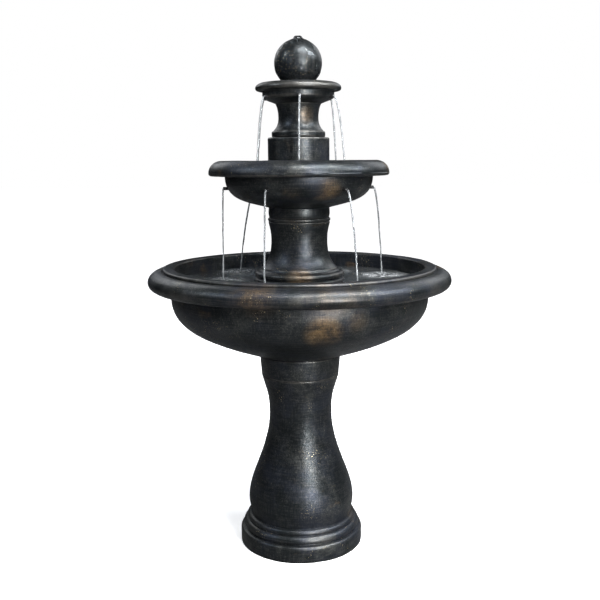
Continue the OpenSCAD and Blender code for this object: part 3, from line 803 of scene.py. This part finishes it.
def turned_water(name, outline, body, landings, level):
    """A closed turned body of water whose top is rippled and frothy where streams land."""
    vertices = [Vector((0, 0, outline[0][1] * MM))]
    for r, z in outline[1:-1]:
        for k in range(SEGMENTS):
            a = 2 * math.pi * k / SEGMENTS
            place = Vector((math.cos(a) * r, math.sin(a) * r, z)) * MM
            if z >= level:
                place.z += ripple(place, landings)
            vertices.append(place)
    peak = Vector((0, 0, outline[-1][1] * MM))
    peak.z += ripple(peak, landings)
    vertices.append(peak)
    thing = new_object(name, vertices, lathe_faces(len(outline), True), POOL_WATER)
    layer = thing.data.attributes.new("froth", "FLOAT", "POINT")
    layer.data.foreach_set("value", [froth(place, landings) if place.z >= (level - 4) * MM else 0.0
                                     for place in vertices])
    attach(thing, body)
    return thing


def stream(name, tip, landing):
    """A falling thread of water: out of its spout, down a parabola, thinning and wavering as it falls."""
    sides = 14
    steps = 64
    mouth_radius, thinning, bulge, sway = 0.0022, 0.0005, 0.0008, 0.0012
    outward = Vector((tip.x, tip.y, 0)).normalized()
    path = [tip - outward * 0.007, tip - outward * 0.002]
    for i in range(steps + 1):
        t = (i / steps) ** 0.62
        gone = Vector(((landing.x - tip.x) * t, (landing.y - tip.y) * t, (landing.z - tip.z) * t * t))
        path.append(tip + gone)
    across = Vector((-outward.y, outward.x, 0))
    vertices = []
    for i, place in enumerate(path):
        ahead = path[min(i + 1, len(path) - 1)] - path[max(i - 1, 0)]
        side = across - ahead * (across.dot(ahead) / ahead.length_squared)
        side.normalize()
        other = side.cross(ahead).normalized()
        fall = max(0.0, (i - 2) / steps)
        waver = noise.noise_vector(place * 38) * (sway * fall)
        radius = mouth_radius - thinning * fall + noise.noise(place * 95) * bulge * fall
        for k in range(sides):
            a = 2 * math.pi * k / sides
            vertices.append(place + waver + side * (math.cos(a) * radius * 1.15)
                            + other * (math.sin(a) * radius))
    count = len(path)
    faces = []
    for i in range(count - 1):
        for k in range(sides):
            here, beside = i * sides + k, i * sides + (k + 1) % sides
            faces.append((here, beside, beside + sides, here + sides))
    faces.append(tuple(range(sides))[::-1])
    faces.append(tuple((count - 1) * sides + k for k in range(sides)))
    thing = new_object(name, vertices, faces, STREAM_WATER)
    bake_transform(thing)


def splash(name, landing, body, seed, reach, count):
    """Bubbles and drops thrown up where a stream lands, as one mesh."""
    luck = random.Random(seed)
    shape = bmesh.new()
    for _ in range(count):
        away = reach * luck.random() ** 0.8
        a = luck.uniform(0, 2 * math.pi)
        flying = luck.random() < 0.2
        size = luck.uniform(0.0007, 0.0013) if flying else luck.uniform(0.0010, 0.0026)
        rise = luck.uniform(0.002, 0.012) * (1 - away / reach) if flying else 0.0004
        drop = bmesh.ops.create_icosphere(shape, subdivisions=2, radius=size)["verts"]
        flat = 1.0 if flying else luck.uniform(0.45, 0.7)
        centre = landing + Vector((math.cos(a) * away, math.sin(a) * away, rise))
        for vertex in drop:
            vertex.co = centre + Vector((vertex.co.x, vertex.co.y, vertex.co.z * flat))
    mesh = bpy.data.meshes.new(name)
    shape.to_mesh(mesh)
    shape.free()
    mesh.materials.append(FOAM_WATER)
    mesh.polygons.foreach_set("use_smooth", [True] * len(mesh.polygons))
    thing = bpy.data.objects.new(name, mesh)
    bpy.context.scene.collection.objects.link(thing)
    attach(thing, body)


def water_over_ball():
    """Water that wells up at the outlet and runs down the ball in uneven rivulets, as a thin closed shell."""
    columns = SEGMENTS
    rows = 90
    last = math.radians(128)
    outer = []
    inner = []
    for i in range(rows + 1):
        polar_angle = last * i / rows
        for k in range(columns):
            a = 2 * math.pi * k / columns
            way = Vector((math.sin(polar_angle) * math.cos(a), math.sin(polar_angle) * math.sin(a),
                          math.cos(polar_angle)))
            runs = noise.noise(Vector((math.cos(a) * 5.5, math.sin(a) * 5.5, polar_angle * 2.2 + 4)))
            beads = noise.noise(way * 9 + Vector((2, 5, 8)))
            down = i / rows
            thick = 0.0014 * max(0.0, runs) + 0.0007 * max(0.0, beads) - 0.0004 * down
            well = 0.0062 * math.exp(-(polar_angle / 0.185) ** 6)
            thick = max(-0.0005, thick - 0.00022) + well if i < rows else -0.0006
            outer.append(way * (BALL_R * MM + thick) + Vector((0, 0, BALL_Z * MM)))
            inner.append(way * (BALL_R * MM - 0.0012) + Vector((0, 0, BALL_Z * MM)))
    vertices = outer + inner
    half = len(outer)
    faces = []
    for i in range(rows):
        for k in range(columns):
            a, b = i * columns + k, i * columns + (k + 1) % columns
            c, d = b + columns, a + columns
            faces.append((a, d, c, b))
            faces.append((half + a, half + b, half + c, half + d))
    for k in range(columns):
        a, b = rows * columns + k, rows * columns + (k + 1) % columns
        faces.append((a, half + a, half + b, b))
    thing = new_object("ball_water", vertices, faces, CLEAR_WATER)
    shape = bmesh.new()
    shape.from_mesh(thing.data)
    bmesh.ops.remove_doubles(shape, verts=shape.verts, dist=0.00002)
    bmesh.ops.dissolve_degenerate(shape, edges=shape.edges, dist=0.00001)
    shape.to_mesh(thing.data)
    shape.free()
    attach(thing, "finial")


def add_water():
    bowl_landings = [polar(turn, r, BASIN_WATER_Z) for turn, r in BOWL_STREAMS]
    dish_landings = [polar(turn, r, BOWL_WATER_Z) for turn, r in DISH_STREAMS]
    pool("basin_water", [(BASIN_R - 12.5, RIM_Z - 8)] + basin_inside(), BASIN_WATER_Z, FLOOR_Z, "basin",
         bowl_landings)
    pool("bowl_water", bowl_inside(), BOWL_WATER_Z, BOWL_FLOOR, "middle_tier", dish_landings)
    pool("dish_water", dish_inside(), DISH_WATER_Z, DISH_FLOOR, "top_tier", [])
    for i, landing in enumerate(bowl_landings):
        tip = polar(BOWL_SPOUT_TURN + 60 * i, SPOUT_TIP_BOWL, BOWL_SPOUT_Z)
        stream(f"bowl_stream_{i + 1}", tip, landing)
        splash(f"bowl_splash_{i + 1}", landing, "basin", i + 1, 0.05, 90)
    for i, landing in enumerate(dish_landings):
        tip = polar(DISH_SPOUT_TURN + 60 * i, SPOUT_TIP_DISH, DISH_SPOUT_Z)
        stream(f"dish_stream_{i + 1}", tip, landing)
        splash(f"dish_splash_{i + 1}", landing, "middle_tier", i + 11, 0.02, 30)
    water_over_ball()


CLEAR_WATER = water("clear_water")
POOL_WATER = pool_water()
STREAM_WATER = water("stream_water", 0.55, (0.36, 0.38, 0.40, 1), (0.72, 0.74, 0.75, 1))
FOAM_WATER = water("foam_water", 0.6, (0.22, 0.23, 0.24, 1), (0.45, 0.46, 0.47, 1))
add_water()


# ---------------------------------------------------------------- stage and light

# Strength of the dim, even light that comes from all round the fountain
ROOM_LIGHT = 0.035


def add_world_and_stage():
    world = bpy.data.worlds.new("studio")
    bpy.context.scene.world = world
    world.use_nodes = True
    nodes = world.node_tree.nodes
    links = world.node_tree.links
    nodes.clear()
    output = nodes.new("ShaderNodeOutputWorld")
    seen = nodes.new("ShaderNodeBackground")
    seen.inputs["Color"].default_value = (1, 1, 1, 1)
    seen.inputs["Strength"].default_value = 1.0
    around = nodes.new("ShaderNodeBackground")
    around.inputs["Color"].default_value = (0.8, 0.88, 1.0, 1)
    around.inputs["Strength"].default_value = ROOM_LIGHT
    mix = nodes.new("ShaderNodeMixShader")
    path = nodes.new("ShaderNodeLightPath")
    either = nodes.new("ShaderNodeMath")
    either.operation = "MAXIMUM"
    links.new(path.outputs["Is Camera Ray"], either.inputs[0])
    links.new(path.outputs["Is Transmission Ray"], either.inputs[1])
    links.new(either.outputs[0], mix.inputs[0])
    links.new(around.outputs[0], mix.inputs[1])
    links.new(seen.outputs[0], mix.inputs[2])
    links.new(mix.outputs[0], output.inputs["Surface"])

    floor = new_object("floor", [(-30, -30, 0), (30, -30, 0), (30, 30, 0), (-30, 30, 0)], [(0, 1, 2, 3)],
                       floor_material())


def floor_material():
    """A pale floor that takes soft shadows near the foot and fades into the white background further off."""
    s = Shader("pale_floor")
    place = s.place()
    away = s.tree.nodes.new("ShaderNodeVectorMath")
    away.operation = "LENGTH"
    s.join(place, away.inputs[0])
    glow = s.range(away.outputs["Value"], 0.15, 0.8, 0.62, 1.0)
    path = s.tree.nodes.new("ShaderNodeLightPath")
    pale = s.mix(s.noise(place, 3.0, 3.0), (0.86, 0.86, 0.86, 1), (0.9, 0.9, 0.9, 1))
    s.set(base_color=s.mix(path.outputs["Is Camera Ray"], (0.12, 0.12, 0.12, 1), pale), roughness=0.9,
          specular_ior_level=0.1, emission_color=(1, 1, 1, 1),
          emission_strength=s.math("MULTIPLY", glow, path.outputs["Is Camera Ray"]))
    return s.material


def area_light(name, place, target, size, watts, colour=(1, 1, 1)):
    data = bpy.data.lights.new(name, "AREA")
    data.shape = "RECTANGLE"
    data.size, data.size_y = size
    data.energy = watts
    data.color = colour
    lamp = bpy.data.objects.new(name, data)
    lamp.location = place
    lamp.rotation_euler = (Vector(target) - Vector(place)).to_track_quat("-Z", "Y").to_euler()
    bpy.context.scene.collection.objects.link(lamp)


add_world_and_stage()
bpy.context.scene.view_settings.view_transform = "Standard"
area_light("key", (1.35, -2.9, 1.38), (0, 0, 0.7), (0.5, 2.6), 160)
area_light("sky", (1.2, -1.6, 4.2), (0, 0, 0.7), (2.6, 1.4), 330, (0.98, 0.99, 1.0))
area_light("fill_right", (2.9, -0.5, 3.0), (0, 0, 0.7), (1.2, 1.2), 85, (0.90, 0.95, 1.0))
area_light("fill_left", (-2.6, -1.0, 2.8), (0, 0, 0.6), (0.8, 1.2), 26, (0.78, 0.88, 1.0))
area_light("back_left", (-1.9, 2.6, 2.7), (0, 0, 0.6), (1.8, 1.8), 19, (0.95, 0.97, 1.0))
area_light("back_right", (2.1, 2.4, 2.6), (0, 0, 0.6), (1.8, 1.8), 20, (0.95, 0.97, 1.0))
